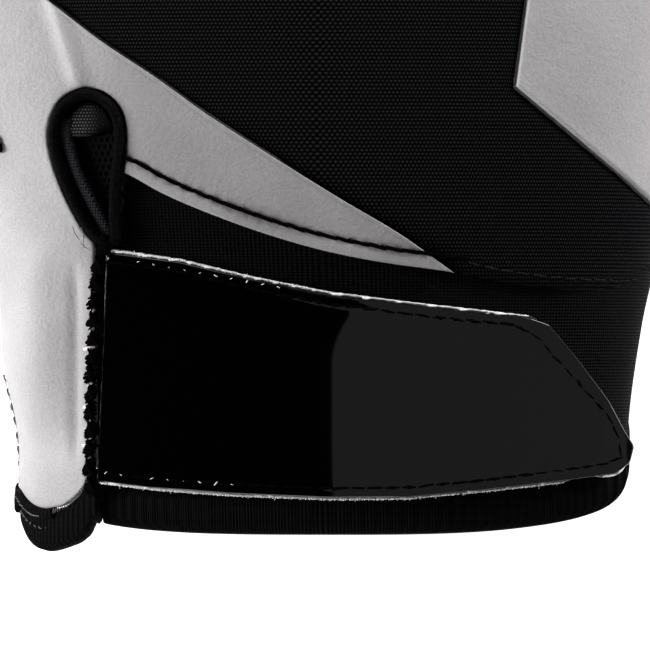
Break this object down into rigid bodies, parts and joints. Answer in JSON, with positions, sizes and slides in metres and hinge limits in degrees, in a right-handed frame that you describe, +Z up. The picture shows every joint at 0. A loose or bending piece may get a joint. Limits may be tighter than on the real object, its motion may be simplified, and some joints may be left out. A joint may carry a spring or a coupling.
{
  "type": "football receiver glove",
  "caption": "Right-hand sports glove lying palm down: leather side panels, stretch back, rib cuff under a wide glossy wrist strap, and a bound drop-shaped slit.",
  "frame": {"origin": "on the floor under the middle of the glove's length and width", "axes": "+Y towards the fingertips, +X towards the little-finger side, +Z up out of the back of the hand"},
  "size_m": [0.143, 0.1966, 0.0364],
  "materials": {
    "white_leather": "smooth synthetic leather, satin",
    "stretch_fabric": "fine knit with a slight sheen",
    "mesh_fabric": "open mesh",
    "elastic_knit": "ribbed elastic",
    "binding_tape": "ribbed tape",
    "strap_gloss": "patent gloss",
    "strap_backing": "felted white backing"
  },
  "bodies": {
    "root": {"palm": "white_leather", "side_panel": "white_leather", "outer_panel": "white_leather", "thumb_back": "white_leather", "hand_back": "stretch_fabric", "index_back": "stretch_fabric", "middle_back": "stretch_fabric", "ring_back": "stretch_fabric", "little_back": "stretch_fabric", "sidewall_index": "mesh_fabric", "fourchette_index_middle": "mesh_fabric", "fourchette_middle_ring": "mesh_fabric", "fourchette_ring_little": "mesh_fabric", "sidewall_little": "mesh_fabric", "cuff": "elastic_knit", "cuff_hem": "elastic_knit", "side_hem": "binding_tape", "palm_hem": "binding_tape", "slit_binding": "binding_tape", "slit_gusset": "mesh_fabric", "strap_backing": "strap_backing", "strap_skin": "strap_gloss"}
  },
  "joints": []
}
